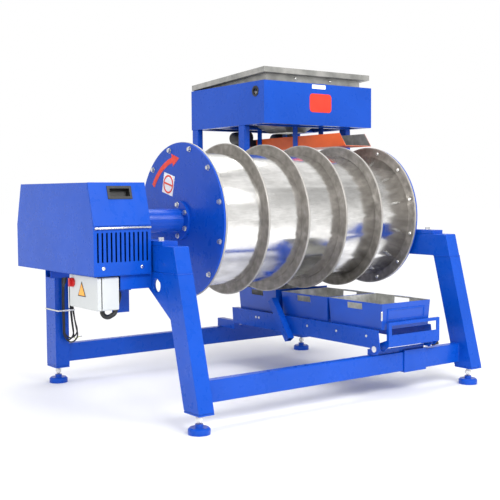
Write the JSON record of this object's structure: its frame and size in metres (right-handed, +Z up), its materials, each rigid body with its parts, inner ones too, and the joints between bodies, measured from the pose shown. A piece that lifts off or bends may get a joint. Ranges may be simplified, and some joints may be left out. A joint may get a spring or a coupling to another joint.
{
  "type": "drum magnetic separator",
  "caption": "Drum magnetic separator: ringed stainless drum on a blue tube frame, with a vibrating hopper feeder above and sliding product trays below.",
  "frame": {"origin": "on the floor, at the middle of the machine's outline", "axes": "+X along the drum from the drive end to the free end, +Y to the back, +Z up"},
  "size_m": [2.258, 1.7659, 1.768],
  "materials": {
    "blue_paint": "gloss",
    "stainless": "brushed",
    "raw_steel": "mill",
    "zinc": "satin",
    "chrome": "polished",
    "dark_paint": "satin",
    "light_grey": "satin",
    "orange_paint": "satin",
    "black_plastic": "textured",
    "red_plastic": "gloss",
    "rubber": "matte",
    "magnet": "sintered"
  },
  "bodies": {
    "frame": {"top_beams": "blue_paint", "front_legs": "blue_paint", "rear_legs": "blue_paint", "left_gusset": "blue_paint", "long_rails": "blue_paint", "tube_end_plates": "blue_paint", "foot_pads": "blue_paint", "foot_stems": "zinc", "bearing_base_plates": "blue_paint", "left_bearing_housing": "blue_paint", "right_axle_clamp": "blue_paint", "bearing_bolts": "zinc", "platform_arms": "blue_paint", "drive_platform": "blue_paint", "cover_shell": "blue_paint", "cover_screws": "chrome", "hatch_hinge": "zinc", "gearbox_housing": "dark_paint", "drive_motor": "dark_paint", "enclosure_bracket": "blue_paint", "enclosure_box": "light_grey", "motor_conduit": "black_plastic", "cable_strap": "zinc", "supply_cable_hank": "rubber", "supply_cable_lead": "rubber", "bridge_beams": "blue_paint"},
    "drum": {"drum_shell": "stainless", "drum_rings": "stainless", "drum_end_flanges": "stainless", "left_end_plate": "blue_paint", "right_end_plate": "blue_paint", "left_hub": "blue_paint", "right_hub": "blue_paint", "drum_bolts": "zinc"},
    "magnets": {"magnet_axle": "raw_steel", "magnet_yoke": "raw_steel", "magnet_bars": "magnet", "axle_lever": "blue_paint"},
    "hatch": {"cover_hatch": "blue_paint", "hatch_handle": "black_plastic"},
    "door": {"enclosure_door": "light_grey"},
    "isolator": {"isolator_knob": "red_plastic"},
    "feeder": {"feeder_stand": "blue_paint", "feeder_box": "blue_paint", "cable_grommet": "black_plastic", "hopper_rim": "raw_steel", "hopper_funnel": "raw_steel", "trough_hangers": "blue_paint"},
    "trough": {"feed_trough": "orange_paint", "vibrator_motors": "dark_paint"},
    "carriage": {"tray_guides": "blue_paint", "carriage_bars": "blue_paint", "gate_pin": "chrome"},
    "front_trays": {"front_tray": "blue_paint", "middle_tray": "blue_paint"},
    "back_tray": {"rear_tray": "blue_paint"},
    "gate": {"front_gate": "blue_paint"},
    "knob": {"gate_knob": "black_plastic"},
    "splitter": {"splitter_arms": "blue_paint", "splitter_blade_and_shaft": "blue_paint"}
  },
  "joints": [
    {"name": "drum_spin", "type": "hinge", "parent": "frame", "child": "drum", "pos_m": [0, -0.097, 0.905], "axis": [1, 0, 0], "continuous": true},
    {"name": "magnet_angle", "type": "hinge", "parent": "frame", "child": "magnets", "pos_m": [0, -0.097, 0.905], "axis": [1, 0, 0], "range_deg": [-30, 30]},
    {"name": "hatch_open", "type": "hinge", "parent": "frame", "child": "hatch", "pos_m": [-0.985, -0.523, 0.892], "axis": [1, 0, 0], "range_deg": [0, 110]},
    {"name": "door_open", "type": "hinge", "parent": "frame", "child": "door", "pos_m": [-1.105, -0.221, 0.6], "axis": [0, 0, -1], "range_deg": [0, 110]},
    {"name": "isolator_turn", "type": "hinge", "parent": "door", "child": "isolator", "pos_m": [-1.105, -0.258, 0.64], "axis": [1, 0, 0], "range_deg": [0, 90]},
    {"name": "feeder_travel", "type": "slide", "parent": "frame", "child": "feeder", "axis": [1, 0, 0], "range_m": [-1.036, 0]},
    {"name": "trough_shake", "type": "slide", "parent": "feeder", "child": "trough", "axis": [0, 1, 0], "range_m": [-0.003, 0.003], "stiffness_N_per_m": 40000},
    {"name": "carriage_travel", "type": "slide", "parent": "frame", "child": "carriage", "axis": [1, 0, 0], "range_m": [-0.9, 0.15]},
    {"name": "gate_drop", "type": "hinge", "parent": "carriage", "child": "gate", "pos_m": [0.5, -0.804, 0.256], "axis": [1, 0, 0], "range_deg": [0, 90]},
    {"name": "front_trays_draw", "type": "slide", "parent": "carriage", "child": "front_trays", "axis": [0, -1, 0], "range_m": [0, 0.2]},
    {"name": "back_tray_draw", "type": "slide", "parent": "carriage", "child": "back_tray", "axis": [0, 1, 0], "range_m": [0, 0.3]},
    {"name": "knob_turn", "type": "hinge", "parent": "carriage", "child": "knob", "pos_m": [0.7, -0.804, 0.256], "axis": [1, 0, 0], "range_deg": [-180, 180]},
    {"name": "splitter_tilt", "type": "hinge", "parent": "carriage", "child": "splitter", "pos_m": [0.466, -0.095, 0.3], "axis": [1, 0, 0], "range_deg": [-4, 4]}
  ],
  "couplings": [
    {"joint": "front_trays_draw", "follows": "gate_drop", "m_per_rad": 0.12605}
  ]
}
